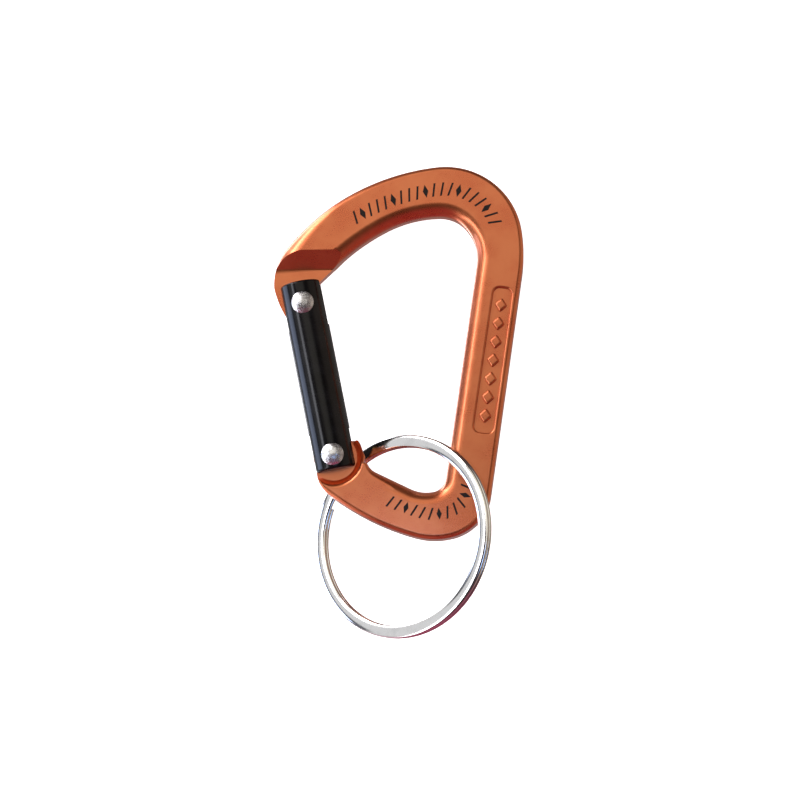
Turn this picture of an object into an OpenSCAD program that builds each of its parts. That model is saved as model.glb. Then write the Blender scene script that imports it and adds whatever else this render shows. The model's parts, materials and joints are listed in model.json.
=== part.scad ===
// Small snap-gate carabiner with a split key ring.
// Everything is drawn with the frame flat in the XY plane, mid-plane at z = 0 and the gate on the left,
// and lay_down() then puts it on the table the way it really lies: on the far corner of the frame and
// on the key ring, which passes under the hinge end and props that side up.

/* [Frame] */
// Thickness of the forged frame
frame_t = 4.5; // [4.2:0.1:4.8]
// Thickness of the thin tongues that enter the gate's slots
tongue_t = 1.6; // [1.4:0.1:1.7]
// Lean of the straight spine from upright, in degrees
spine_lean = 8.3; // [8:0.1:8.6]
// Depth of the sunken panel in the spine
panel_depth = 0.4; // [0.2:0.05:0.6]
// Length of the sunken panel
panel_l = 19.6; // [18:0.1:20]
// Width of the sunken panel
panel_w = 2.5; // [2:0.1:3]

/* [Gate] */
// Outside diameter of the gate tube
gate_d = 5.6; // [5.4:0.1:5.8]
// Distance between the hinge rivet and the latch rivet
gate_span = 20.8; // [20.6:0.1:21]
// Lean of the gate from upright, in degrees
gate_lean = 11.3; // [11:0.1:11.6]
// Gate tube past the hinge rivet
gate_foot = 1.9; // [1.8:0.1:2]
// Gate tube past the latch rivet
gate_head = 3; // [2.8:0.1:3]
// Width of the slots in both ends of the gate
slot_w = 1.9; // [1.9:0.05:2.1]
// Bore for the return spring and its plunger
bore_d = 3; // [3:0.1:3.2]

/* [Rivets] */
// Diameter of a rivet's shank
pin_d = 1.6; // [1.5:0.05:1.6]
// Diameter of a rivet's head
head_d = 2.96; // [2.8:0.02:3]
// Height of the dome on a rivet's head
dome_h = 0.45; // [0.3:0.05:0.6]

/* [Return spring] */
// Outside diameter of the coil spring
spring_d = 2.6; // [2.4:0.1:2.7]
// Diameter of the spring wire
spring_wire = 0.36; // [0.3:0.02:0.4]
// Number of turns
spring_turns = 8; // [6:1:9]
// Lever arm of the plunger about the hinge, which is also its lift for each radian of opening
heel_arm = 0.9; // [0.8:0.05:0.95]

/* [Key ring] */
// Outside diameter of the split ring
ring_d = 27; // [26:0.1:27.2]
// Width of the ring's band
band_w = 1.65; // [1.5:0.05:1.7]
// Thickness of one of the two turns
turn_t = 0.6; // [0.5:0.02:0.62]
// Gap between the two turns
turn_gap = 0.05; // [0.04:0.01:0.1]
// Tilt of the ring out of the frame's plane, in degrees
ring_tilt = 29.3; // [29:0.1:31]
// Lean of the ring's swing axis from upright, in degrees
ring_lean = 7.2; // [6:0.1:8]

/* [Hidden] */
$fn = 64;
arc_step = 3;                        // degrees between the points of an arc in an outline
far = 60;                            // longer than the whole object, for cutting

// Rest on the table
rest_tilt = 6.19;                    // tilt that brings the ring and the frame's far corner to the table
rest_lean = 27.6;                    // lean of the axis of that tilt from upright, top to the left
rest_shift = [0.14, 0.09, 4.99];     // moves the middle of the box's bottom to the origin

// Places in the frame's plane
hinge_at = [-8.8, -7.5];
ring_at = [0.21, -18.2, 0.2];

// Radii of the gate and its hinge
gate_r = gate_d / 2;
pin_r = pin_d / 2;
head_r = head_d / 2;
hinge_clearance = 0.05;
seat_z = 2.3;                        // height of the flat seat under a rivet's head
foot_slot = 3.4;                     // top of the slot at the hinge end, from the hinge
nose_slot = gate_span - 3.2;         // bottom of the slot at the latch end
bore_top = 11.5;                     // blind end of the spring bore

// Hinge end of the frame
shoulder_r = 3.75;                   // pocket that the gate's round end turns in
shoulder_drop = 0.25;                // how far the pocket's middle lies below the hinge
shoulder_lap = 0.75;                 // how far the tongue runs into the full thickness
lug_r = 2.7;                         // outside of the tongue round the hinge rivet
heel_base = 2.2;                     // height of the plunger's face over the hinge, gate shut
heel_from = -25;                     // opening angles that the heel's curve is drawn for
heel_to = 45;
heel_sides = 6;                      // half the width of the metal under the heel, more than the lug's
heel_foot = -8;                      // bottom of that metal, below the pocket
tab_u = 3.3;                         // edge of the full thickness beside the hinge, across the gate
tab_low = 0.9;                       // ends of that edge, along the gate
tab_high = 17;
face_gap = 0.02;                     // between faces that touch

// Latch end of the frame
lip_r = gate_span - 2.4;             // inner edge of the hook's lip, from the hinge
notch_r = 0.9;
notch_play = 0.05;
lip_u = 0.7;                         // how far the lip reaches past the gate's axis
ramp_low = 17.6;                     // where the tongue starts
ramp_high = 20.1;                    // where the full thickness starts
ramp_over = 1;                       // how far the ramp's cutting shape runs on past both ends
ramp_lap = 0.5;                      // how far the tongue runs in under the ramp
nose_right = -9;                     // everything of the nose lies to the left of this
gate_side = 0.6;                     // room beside the gate's tube

// Panel on the spine
panel_at = [12.46, 4.97];
panel_corner = 0.9;
lozenge_count = 7;
lozenge_pitch = 2.5;
lozenge_half = [0.34 * panel_w, 0.95];

// Split ring
crossing = 16;                       // half the stretch over which the wire steps from one turn to the other
step_at = 150;                       // where round the ring that stretch lies
band_corner = 0.18;                  // taken off the corners of the band's section

// Plunger
plunger_r = bore_d / 2 - 0.1;
plunger_head = 1.4;
plunger_stem_r = 0.75;
plunger_stem = 2.2;

// One step of an outline: [radius, sweep] turns left, [0, length] goes straight on.
OUTER = [
    [4.6, 42.5], [33, 22.1], [9.9, 30], [6.7, 67.1], [0, 29.9], [20, 17], [10.4, 87.3],
    [30.8, 43.5], [7.3, 42.5], [4.5, 13.5], [13.5, 30],
];
OUTER_AT = [-11.04, -9.93];
OUTER_HEADING = -80;
INNER = [
    [0, 2.9], [2.2, 44.6], [0, 5.12], [4.9, 36.3], [2.03, 70.8], [0, 29.2], [6.1, 51.2],
    [4.6, 47.7], [15.8, 27], [28.7, 18],
];
INNER_AT = [-5.3, -5.84];
INNER_HEADING = -70;

function left_of(h) = [-sin(h), cos(h)];
function ahead(h) = [cos(h), sin(h)];

// Points of one step from place p with heading h
function step_points(p, h, s) =
    s[0] == 0 ? [p] :
    let (n = ceil(s[1] / arc_step), c = p + s[0] * left_of(h))
    [for (i = [0:n - 1]) c - s[0] * left_of(h + s[1] * i / n)];

function step_end(p, h, s) =
    s[0] == 0 ? p + s[1] * ahead(h) : p + s[0] * (left_of(h) - left_of(h + s[1]));

function turned(h, s) = s[0] == 0 ? h : h + s[1];

// Points of a whole outline, by walking its steps one after another
function walk(p, h, steps, i = 0) =
    i == len(steps) ? [p] :
    concat(step_points(p, h, steps[i]), walk(step_end(p, h, steps[i]), turned(h, steps[i]), steps, i + 1));

// A point given across (u) and along (v) the gate's axis, from the hinge
function gate_point(u, v) =
    hinge_at + [u * cos(gate_lean) - v * sin(gate_lean), u * sin(gate_lean) + v * cos(gate_lean)];

// The heel that the flat plunger slides on: an involute, so that the lift is in step with the opening
function heel_point(a) =
    let (lift = heel_base + heel_arm * a * PI / 180)
    [heel_arm * cos(a) + lift * sin(a), lift * cos(a) - heel_arm * sin(a)];

module lay_down() {
    translate(rest_shift)
        rotate(a = rest_tilt, v = [-sin(rest_lean), cos(rest_lean), 0])
            children();
}

module at_gate() {
    translate(hinge_at) rotate([0, 0, gate_lean]) children();
}

module plate(t) {
    linear_extrude(height = t, center = true) children();
}

// Outside of the frame, closed straight across behind the gate
module outline() {
    polygon(walk(OUTER_AT, OUTER_HEADING, OUTER));
}

// The hole of the frame, closed along the path that the tongues leave free
module hole() {
    polygon(concat(
        walk(INNER_AT, INNER_HEADING, INNER),
        [gate_point(1.2, 22.4), gate_point(lip_u, 21.4), gate_point(lip_u, 17.4),
         gate_point(tab_u, tab_high), gate_point(tab_u, tab_low)]
    ));
}

// What the gate's tube needs clear of full-thickness metal
module gate_pocket() {
    at_gate() {
        translate([0, -shoulder_drop]) circle(r = shoulder_r);
        translate([-far / 2, 0]) square([far / 2 + gate_r + gate_side, far]);
    }
}

module full_section() {
    difference() {
        outline();
        hole();
        intersection() {
            gate_pocket();
            translate([-far, -far]) square([2 * far, far + ramp_low]);
        }
    }
}

// The part of the tongue at the hinge that lies under the plunger's face
module heel_zone() {
    polygon(concat(
        [for (a = [heel_to:-5:heel_from]) heel_point(a)],
        [[-heel_sides, heel_point(heel_from)[1]], [-heel_sides, heel_foot],
         [heel_sides, heel_foot], [heel_sides, heel_point(heel_to)[1]]]
    ));
}

module hinge_tongue() {
    difference() {
        intersection() {
            union() {
                outline();
                translate(hinge_at) circle(r = lug_r);
            }
            at_gate() translate([0, -shoulder_drop]) circle(r = shoulder_r + shoulder_lap);
            at_gate() heel_zone();
        }
        hole();
    }
}

// The notch that the latch rivet swings into, about the hinge
module notch() {
    at_gate() {
        translate([-notch_play, gate_span]) circle(r = notch_r);
        intersection() {
            difference() {
                circle(r = gate_span + notch_r, $fn = 360);
                circle(r = gate_span - notch_r, $fn = 360);
            }
            translate([-notch_play, gate_span - 3]) square(6);
        }
    }
}

module nose_tongue() {
    difference() {
        outline();
        hole();
        translate(hinge_at) circle(r = lip_r, $fn = 360);
        translate([-far, ramp_low + ramp_lap]) square(2 * far);
        translate([nose_right, -far]) square(2 * far);
        notch();
    }
}

// Slopes that bring the nose down from full thickness to the tongue
module nose_ramp() {
    run = ramp_high - ramp_low;
    rise = (frame_t - tongue_t) / 2;
    translate([-far / 2, ramp_low, tongue_t / 2])
        rotate([90, 0, 90])
            linear_extrude(height = far / 2)
                polygon([
                    [-ramp_over, 0], [0, 0], [run, rise] * (1 + ramp_over), [-ramp_over, rise * (1 + ramp_over)]
                ]);
}

// Sunken panel on the front of the spine, with a row of raised lozenges
module spine_panel() {
    translate([panel_at[0], panel_at[1], frame_t / 2 - panel_depth])
        rotate([0, 0, -spine_lean])
            linear_extrude(height = 1)
                difference() {
                    offset(r = panel_corner)
                        square([panel_w - 2 * panel_corner, panel_l - 2 * panel_corner], center = true);
                    for (i = [0:lozenge_count - 1])
                        translate([0, (i - (lozenge_count - 1) / 2) * lozenge_pitch]) lozenge();
                }
}

module lozenge() {
    polygon([[lozenge_half[0], 0], [0, lozenge_half[1]], [-lozenge_half[0], 0], [0, -lozenge_half[1]]]);
}

module frame() {
    color([0.80, 0.40, 0.20]) lay_down() {
        difference() {
            union() {
                difference() {
                    plate(frame_t) full_section();
                    nose_ramp();
                    mirror([0, 0, 1]) nose_ramp();
                }
                plate(tongue_t) hinge_tongue();
                plate(tongue_t) nose_tongue();
            }
            translate(hinge_at) cylinder(r = pin_r + hinge_clearance, h = far, center = true);
            spine_panel();
        }
    }
}

module rivet_seats(v) {
    for (side = [0, 1]) mirror([0, 0, side])
        translate([0, v, seat_z]) cylinder(r = head_r + 0.02, h = gate_r);
    translate([0, v, 0]) cylinder(r = pin_r, h = far, center = true);
}

module gate() {
    gate_l = gate_foot + gate_span + gate_head;
    color([0.07, 0.07, 0.08]) lay_down() at_gate() {
        difference() {
            translate([0, -gate_foot, 0]) rotate([-90, 0, 0]) cylinder(r = gate_r, h = gate_l);
            translate([0, -gate_foot - 1, 0]) rotate([-90, 0, 0])
                cylinder(d = bore_d, h = bore_top + gate_foot + 1);
            translate([-far / 2, -far + foot_slot, -slot_w / 2]) cube([far, far, slot_w]);
            translate([-far / 2, nose_slot, -slot_w / 2]) cube([far, far, slot_w]);
            rivet_seats(0);
            rivet_seats(gate_span);
        }
    }
}

// Shank with a domed head at both ends
module rivet() {
    rim_z = gate_r;
    dome_r = (head_r * head_r + dome_h * dome_h) / (2 * dome_h);
    cylinder(r = pin_r, h = 2 * seat_z, center = true);
    for (side = [0, 1]) mirror([0, 0, side]) {
        translate([0, 0, seat_z]) cylinder(r = head_r, h = rim_z - seat_z);
        intersection() {
            translate([0, 0, rim_z + dome_h - dome_r]) sphere(r = dome_r);
            translate([0, 0, rim_z]) cylinder(r = head_r, h = dome_h + 1);
        }
    }
}

module hinge_rivet() {
    color([0.80, 0.81, 0.83]) lay_down() at_gate() rivet();
}

module latch_rivet() {
    color([0.80, 0.81, 0.83]) lay_down() at_gate() translate([0, gate_span, 0]) rivet();
}

module plunger() {
    color([0.72, 0.60, 0.30]) lay_down() at_gate()
        translate([0, heel_base + face_gap, 0]) rotate([-90, 0, 0]) {
            cylinder(r = plunger_r, h = plunger_head);
            cylinder(r = plunger_stem_r, h = plunger_head + plunger_stem);
        }
}

// A tube of round section swept along points: rings of points first, then its faces
function tube_faces(rings, sides) = concat(
    [[for (j = [sides - 1:-1:0]) j]],
    [for (i = [0:rings - 2], j = [0:sides - 1])
        [i * sides + j, i * sides + (j + 1) % sides, (i + 1) * sides + (j + 1) % sides, (i + 1) * sides + j]],
    [[for (j = [0:sides - 1]) (rings - 1) * sides + j]]
);

module return_spring() {
    sides = 8;
    per_turn = 14;
    rings = spring_turns * per_turn + 1;
    coil_r = (spring_d - spring_wire) / 2;
    wire_r = spring_wire / 2;
    low = heel_base + face_gap + plunger_head + wire_r + 0.02;
    rise = bore_top - wire_r - 0.02 - low;
    points = [
        for (i = [0:rings - 1], j = [0:sides - 1])
            let (a = 360 * i / per_turn, b = 360 * j / sides, r = coil_r + wire_r * cos(b))
            [r * cos(a), low + rise * i / (rings - 1) + wire_r * sin(b), r * sin(a)]
    ];
    color([0.60, 0.62, 0.65]) lay_down() at_gate() polyhedron(points, tube_faces(rings, sides));
}

// Section of one turn of the split ring, with its edges taken off
function band_section() =
    let (w = band_w / 2, t = turn_t / 2, e = band_corner)
    [[w - e, -t], [w, e - t], [w, t - e], [w - e, t], [e - w, t], [-w, t - e], [-w, e - t], [e - w, -t]];

module ring_turn(z) {
    translate([0, 0, z])
        rotate_extrude(angle = 360 - 2 * crossing, start = crossing, $fn = 180)
            translate([ring_d / 2 - band_w / 2, 0]) polygon(band_section());
}

// The step between the turns, a short swept stretch of the same section
module ring_step() {
    pitch = turn_t + turn_gap;
    rings = 9;
    section = band_section();
    points = [
        for (i = [0:rings - 1], s = section)
            let (f = i / (rings - 1), a = crossing * (2 * f - 1), r = ring_d / 2 - band_w / 2 + s[0])
            [r * cos(a), r * sin(a), s[1] - pitch / 2 * cos(180 * f)]
    ];
    polyhedron(points, tube_faces(rings, len(section)));
}

module split_ring() {
    half = (turn_t + turn_gap) / 2;
    color([0.78, 0.76, 0.72]) lay_down()
        translate(ring_at)
            rotate([0, 0, -ring_lean]) rotate([0, -ring_tilt, 0]) rotate([0, 0, step_at]) {
                ring_turn(-half);
                ring_turn(half);
                ring_step();
            }
}

frame();
gate();
hinge_rivet();
latch_rivet();
return_spring();
plunger();
split_ring();
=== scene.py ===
"""Looks of a small snap-gate carabiner with a split key ring.

Each piece is drawn in millimetres with the forged frame flat and upright, its mid-plane at z = 0.
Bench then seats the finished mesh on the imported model, by the hinge and the gate's direction.
"""

from __future__ import annotations

import json
import logging
import math
from dataclasses import dataclass
from enum import Enum
from typing import Callable, Sequence

import bpy  # noqa: E402
from mathutils import Matrix, Vector  # noqa: E402

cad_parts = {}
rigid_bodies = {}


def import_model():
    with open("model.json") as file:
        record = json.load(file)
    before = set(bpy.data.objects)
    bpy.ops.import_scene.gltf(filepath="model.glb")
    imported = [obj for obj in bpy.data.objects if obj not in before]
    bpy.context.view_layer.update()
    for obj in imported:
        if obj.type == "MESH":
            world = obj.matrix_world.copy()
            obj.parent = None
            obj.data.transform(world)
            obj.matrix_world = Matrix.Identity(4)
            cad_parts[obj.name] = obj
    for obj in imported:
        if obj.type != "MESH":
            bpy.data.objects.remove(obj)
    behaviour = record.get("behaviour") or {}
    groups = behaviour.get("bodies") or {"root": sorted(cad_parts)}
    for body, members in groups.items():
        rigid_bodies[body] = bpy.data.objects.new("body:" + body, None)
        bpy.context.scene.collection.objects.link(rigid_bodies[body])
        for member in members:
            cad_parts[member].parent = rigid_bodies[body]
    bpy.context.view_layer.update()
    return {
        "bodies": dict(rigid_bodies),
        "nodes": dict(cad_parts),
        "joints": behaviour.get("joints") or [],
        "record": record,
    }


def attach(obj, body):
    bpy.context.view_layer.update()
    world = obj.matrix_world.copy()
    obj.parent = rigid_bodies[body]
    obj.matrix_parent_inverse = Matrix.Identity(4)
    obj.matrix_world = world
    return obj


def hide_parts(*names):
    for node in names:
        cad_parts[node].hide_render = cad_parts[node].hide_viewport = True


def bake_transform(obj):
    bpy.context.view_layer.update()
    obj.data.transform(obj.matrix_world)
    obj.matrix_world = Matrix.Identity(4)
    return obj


LOG = logging.getLogger("carabiner")
MM = 0.001

# In millimetres: the space between an outline's points, and how far apart two heights may lie
# and still count as level.
FINE = 0.35
LEVEL = 1e-4

# In millimetres: how much the forging's edges are rounded, by where they are.
OUTER_ROUND = 0.65
INNER_ROUND = 1.75
NOSE_ROUND = 2.15
EDGE_BREAK = 0.12
THINNEST_ROUND = 0.04

Point = tuple[float, float]
Colour = tuple[float, float, float]


# ---------------------------------------------------------------------------------------------
# Modelling bench
# ---------------------------------------------------------------------------------------------


def deselect() -> None:
    """Leaves edit mode and selects nothing."""
    if bpy.context.object and bpy.context.object.mode != "OBJECT":
        bpy.ops.object.mode_set(mode="OBJECT")
    bpy.ops.object.select_all(action="DESELECT")


def pick(piece: bpy.types.Object) -> None:
    """Selects one object alone and makes it active.

    Args:
        piece: The object to work on.
    """
    deselect()
    piece.select_set(True)
    bpy.context.view_layer.objects.active = piece


def added(name: str) -> bpy.types.Object:
    """Names the primitive that was just added.

    Args:
        name: The new object's name.

    Returns:
        The object.
    """
    piece = bpy.context.object
    piece.name = name
    piece.data.name = name
    return piece


def freeze(piece: bpy.types.Object) -> None:
    """Puts a piece's place, turn and size into its mesh."""
    pick(piece)
    bpy.ops.object.transform_apply(location=True, rotation=True, scale=True)


def linked(name: str, data: bpy.types.ID) -> bpy.types.Object:
    """Adds an object that holds a camera or a light.

    Args:
        name: The new object's name.
        data: The camera or light.

    Returns:
        The object.
    """
    piece = bpy.data.objects.new(name, data)
    bpy.context.scene.collection.objects.link(piece)
    return piece


def start_selection(piece: bpy.types.Object, kind: str) -> None:
    """Selects nothing on an object, ready for its faces or edges to be selected in code.

    Args:
        piece: The object to select on.
        kind: FACE or EDGE.
    """
    pick(piece)
    bpy.ops.object.mode_set(mode="EDIT")
    bpy.ops.mesh.select_mode(type=kind)
    bpy.ops.mesh.select_all(action="DESELECT")
    bpy.ops.object.mode_set(mode="OBJECT")


def select_faces(piece: bpy.types.Object, wanted: Callable[[bpy.types.MeshPolygon], bool]) -> None:
    """Selects faces in code and leaves the object in edit mode, in face mode.

    Args:
        piece: The object to select on.
        wanted: Says whether a face is selected.
    """
    start_selection(piece, "FACE")
    for face in piece.data.polygons:
        face.select = wanted(face)
    bpy.ops.object.mode_set(mode="EDIT")


def select_edges(piece: bpy.types.Object, wanted: Callable[[Vector, Vector], bool]) -> None:
    """Selects edges by their ends and leaves the object in edit mode, in edge mode.

    Args:
        piece: The object to select on.
        wanted: Says whether the edge between two points is selected.
    """
    start_selection(piece, "EDGE")
    points = piece.data.vertices
    for edge in piece.data.edges:
        a, b = edge.vertices
        edge.select = wanted(points[a].co, points[b].co)
    bpy.ops.object.mode_set(mode="EDIT")


def finish_edit(piece: bpy.types.Object) -> None:
    """Turns the normals outwards and goes back to object mode.

    Args:
        piece: The object in edit mode.
    """
    bpy.ops.mesh.select_all(action="SELECT")
    bpy.ops.mesh.normals_make_consistent(inside=False)
    bpy.ops.object.mode_set(mode="OBJECT")
    pick(piece)


def mend(piece: bpy.types.Object) -> None:
    """Turns a closed piece's normals outwards.

    Args:
        piece: The object to work on.
    """
    pick(piece)
    bpy.ops.object.mode_set(mode="EDIT")
    finish_edit(piece)


def apply_modifier(piece: bpy.types.Object, kind: str, **settings: object) -> None:
    """Adds a modifier and applies it.

    Args:
        piece: The object to modify.
        kind: The modifier's type, such as BEVEL.
        settings: The modifier's own settings.
    """
    pick(piece)
    modifier = piece.modifiers.new(kind.lower(), kind)
    for key, value in settings.items():
        setattr(modifier, key, value)
    bpy.ops.object.modifier_apply(modifier=modifier.name)


class Cut(Enum):
    """What a boolean does with the tool."""

    AWAY = "DIFFERENCE"
    JOIN = "UNION"


def combine(piece: bpy.types.Object, tool: bpy.types.Object, how: Cut) -> None:
    """Cuts a piece with a tool, or joins the two, and deletes the tool.

    Args:
        piece: The piece that stays.
        tool: The closed solid that is used up.
        how: Cut.AWAY or Cut.JOIN.
    """
    apply_modifier(piece, "BOOLEAN", operation=how.value, object=tool, solver="EXACT")
    data = tool.data
    bpy.data.objects.remove(tool)
    bpy.data.meshes.remove(data)


def prism(name: str, outline: Sequence[Point], low: float, high: float) -> bpy.types.Object:
    """A flat plate with a given outline: a filled circle whose corners are moved, then extruded.

    Args:
        name: The new object's name.
        outline: The corners, in order.
        low: Height of the bottom.
        high: Height of the top.

    Returns:
        The plate.
    """
    deselect()
    bpy.ops.mesh.primitive_circle_add(vertices=len(outline), radius=1, fill_type="NGON")
    piece = added(name)
    for corner, (x, y) in zip(piece.data.vertices, outline):
        corner.co = (x, y, low)
    pick(piece)
    bpy.ops.object.mode_set(mode="EDIT")
    bpy.ops.mesh.select_all(action="SELECT")
    bpy.ops.mesh.extrude_region_move(TRANSFORM_OT_translate={"value": (0, 0, high - low)})
    finish_edit(piece)
    return piece


def round_rims(piece: bpy.types.Object, widths: Sequence[float], segments: int) -> None:
    """Rounds the edges round both flat sides of a plate, by a width at each corner.

    Args:
        piece: A plate made by prism, whose corners are in the outline's order on each side.
        widths: The rounding at each corner of the outline.
        segments: How many faces stand for the round.
    """
    count, widest, data = len(widths), max(widths), piece.data
    layer = data.attributes.new("bevel_weight_edge", "FLOAT", "EDGE")
    for edge in data.edges:
        a, b = edge.vertices
        level = abs(data.vertices[a].co.z - data.vertices[b].co.z) < LEVEL
        layer.data[edge.index].value = (widths[a % count] + widths[b % count]) / 2 / widest if level else 0
    apply_modifier(
        piece,
        "BEVEL",
        limit_method="WEIGHT",
        width=widest,
        segments=segments,
        profile=0.5,
        offset_type="OFFSET",
        use_clamp_overlap=False,
    )


def block(name: str, low: Vector, high: Vector) -> bpy.types.Object:
    """A box between two corners, used as a cutting tool.

    Args:
        name: The new object's name.
        low: The lowest corner.
        high: The highest corner.

    Returns:
        The box.
    """
    deselect()
    bpy.ops.mesh.primitive_cube_add(size=1, location=(low + high) / 2, scale=high - low)
    piece = added(name)
    freeze(piece)
    return piece


def bar(name: str, radius: float, low: Vector, high: Vector, sides: int = 64) -> bpy.types.Object:
    """A round bar between two points.

    Args:
        name: The new object's name.
        radius: The bar's radius.
        low: The middle of one end.
        high: The middle of the other end.
        sides: How many sides stand for the round.

    Returns:
        The bar.
    """
    deselect()
    along = high - low
    turn = Vector((0, 0, 1)).rotation_difference(along).to_euler()
    bpy.ops.mesh.primitive_cylinder_add(
        vertices=sides, radius=radius, depth=along.length, location=(low + high) / 2, rotation=turn
    )
    piece = added(name)
    freeze(piece)
    return piece


def shade(piece: bpy.types.Object, angle: float = 32.0, weighted: bool = True) -> None:
    """Shades a piece smooth below an angle, with its large flat faces kept flat.

    Args:
        piece: The piece.
        angle: Edges sharper than this many degrees stay sharp.
        weighted: Whether large faces set the normals beside them.
    """
    pick(piece)
    bpy.ops.object.shade_smooth_by_angle(angle=math.radians(angle))
    if weighted:
        apply_modifier(piece, "WEIGHTED_NORMAL", keep_sharp=True, weight=50, mode="FACE_AREA")


@dataclass(frozen=True)
class Bench:
    """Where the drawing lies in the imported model.

    Attributes:
        place: Turns drawing millimetres into the model's metres.
    """

    place: Matrix

    @classmethod
    def from_frame(cls, frame: dict, hinge: Point, lean: float) -> "Bench":
        """Finds the drawing's place from the gate's hinge and the way that the gate points.

        Args:
            hinge: The hinge's place in the drawing.
            lean: The gate's lean from upright in the drawing, in degrees.

        Returns:
            The bench.
        """
        joints = {joint["name"]: joint for joint in frame["joints"]}
        normal = -Vector(joints["gate_hinge"]["axis"]).normalized()
        along = Vector(joints["plunger_slide"]["axis"]).normalized()
        across = along.cross(normal).normalized()
        turn = math.radians(lean)
        x_axis = across * math.cos(turn) - along * math.sin(turn)
        y_axis = across * math.sin(turn) + along * math.cos(turn)
        spin = Matrix((x_axis, y_axis, normal)).transposed()
        origin = Vector(joints["gate_hinge"]["pos_m"]) - spin @ Vector((*hinge, 0)) * MM
        return cls(Matrix.Translation(origin) @ spin.to_4x4() @ Matrix.Scale(MM, 4))

    def seat(self, piece: bpy.types.Object) -> None:
        """Moves a piece drawn in millimetres to its place in the model."""
        piece.matrix_world = self.place
        freeze(piece)

    def at(self, x: float, y: float, z: float) -> Vector:
        """The model's point for a point of the drawing."""
        return self.place @ Vector((x, y, z))

    def toward(self, x: float, y: float, z: float) -> Vector:
        """The model's direction for a direction of the drawing."""
        return (self.place.to_3x3() @ Vector((x, y, z))).normalized()


# ---------------------------------------------------------------------------------------------
# Outlines
# ---------------------------------------------------------------------------------------------


@dataclass(frozen=True)
class Arc:
    """A stretch of an outline that turns left.

    Attributes:
        radius: Radius in millimetres.
        sweep: How far it turns, in degrees.
        round_off: Radius of the edge's rounding at the end of this stretch.
    """

    radius: float
    sweep: float
    round_off: float

    def walk(self, at: Vector, heading: float, step: float) -> tuple[list[Vector], Vector, float]:
        """Walks along the arc.

        Args:
            at: Where it starts.
            heading: The heading there, in degrees.
            step: The distance between points on an arc.

        Returns:
            The points but the last, the point where it ends, and the heading there.
        """
        centre = at + self.radius * left_of(heading)
        count = max(2, math.ceil(self.radius * math.radians(self.sweep) / step))
        turns = [heading + self.sweep * i / count for i in range(count + 1)]
        points = [centre - self.radius * left_of(turn) for turn in turns]
        return points[:-1], points[-1], turns[-1]


@dataclass(frozen=True)
class Straight:
    """A straight stretch of an outline.

    Attributes:
        length: Length in millimetres.
        round_off: Radius of the edge's rounding at the end of this stretch.
    """

    length: float
    round_off: float

    def walk(self, at: Vector, heading: float, step: float) -> tuple[list[Vector], Vector, float]:
        """Walks along the line.

        Args:
            at: Where it starts.
            heading: The heading there, in degrees.
            step: The distance between points on an arc.

        Returns:
            The points but the last, the point where it ends, and the heading there.
        """
        ahead = Vector((math.cos(math.radians(heading)), math.sin(math.radians(heading))))
        count = max(1, math.ceil(self.length / (3 * step)))
        points = [at + ahead * self.length * i / count for i in range(count + 1)]
        return points[:-1], points[-1], heading


def taper(width: float, metal: float, share: float = 0.45) -> float:
    """An edge's rounding where only so much metal is left beside it, of which it takes a share."""
    return max(THINNEST_ROUND, min(width, share * metal))


def left_of(heading: float) -> Vector:
    """The direction to the left of a heading in degrees."""
    return Vector((-math.sin(math.radians(heading)), math.cos(math.radians(heading))))


@dataclass(frozen=True)
class Outline:
    """A path of arcs and lines, each starting where the last one ends and in its direction.

    Attributes:
        start: Where the path starts.
        heading: Its first heading in degrees.
        round_off: Radius of the edge's rounding at the start.
        steps: The stretches.
    """

    start: Point
    heading: float
    round_off: float
    steps: tuple[Arc | Straight, ...]

    def walk(self, step: float) -> list[tuple[Vector, float]]:
        """Walks the path.

        Args:
            step: The distance between points on an arc.

        Returns:
            The points, each with the edge rounding there.
        """
        at, heading, before = Vector(self.start), self.heading, self.round_off
        walked: list[tuple[Vector, float]] = []
        for stretch in self.steps:
            points, at, heading = stretch.walk(at, heading, step)
            for i, point in enumerate(points):
                share = i / len(points)
                walked.append((point, before + (stretch.round_off - before) * share))
            before = stretch.round_off
        walked.append((at, before))
        return walked


# ---------------------------------------------------------------------------------------------
# Shader maths
# ---------------------------------------------------------------------------------------------


class Signal:
    """A number that varies over a surface, held by one output of a shader tree."""

    def __init__(self, paint: "Tree", socket: bpy.types.NodeSocket) -> None:
        """Wraps an output socket of a paint's tree."""
        self.paint = paint
        self.socket = socket

    def _math(self, operation: str, *values: "Signal | float") -> "Signal":
        """A Math node on some values."""
        node = self.paint.node("ShaderNodeMath", {"operation": operation}, dict(enumerate(values)))
        return Signal(self.paint, node.outputs[0])

    def __add__(self, other: "Signal | float") -> "Signal":
        """self + other."""
        return self._math("ADD", self, other)

    def __sub__(self, other: "Signal | float") -> "Signal":
        """self - other."""
        return self._math("SUBTRACT", self, other)

    def __rsub__(self, other: float) -> "Signal":
        """other - self."""
        return self._math("SUBTRACT", other, self)

    def __mul__(self, other: "Signal | float") -> "Signal":
        """self * other."""
        return self._math("MULTIPLY", self, other)

    __radd__ = __add__
    __rmul__ = __mul__

    def ramp(self, low: float, high: float) -> "Signal":
        """A smooth step from 0 to 1 as the signal goes from low to high.

        Args:
            low: Where the step starts.
            high: Where it ends, which may be below low.

        Returns:
            The step.
        """
        settings = {"interpolation_type": "SMOOTHSTEP", "clamp": True}
        sockets = {"Value": self, "From Min": low, "From Max": high, "To Min": 0.0, "To Max": 1.0}
        node = self.paint.node("ShaderNodeMapRange", settings, sockets)
        return Signal(self.paint, node.outputs["Result"])


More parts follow.
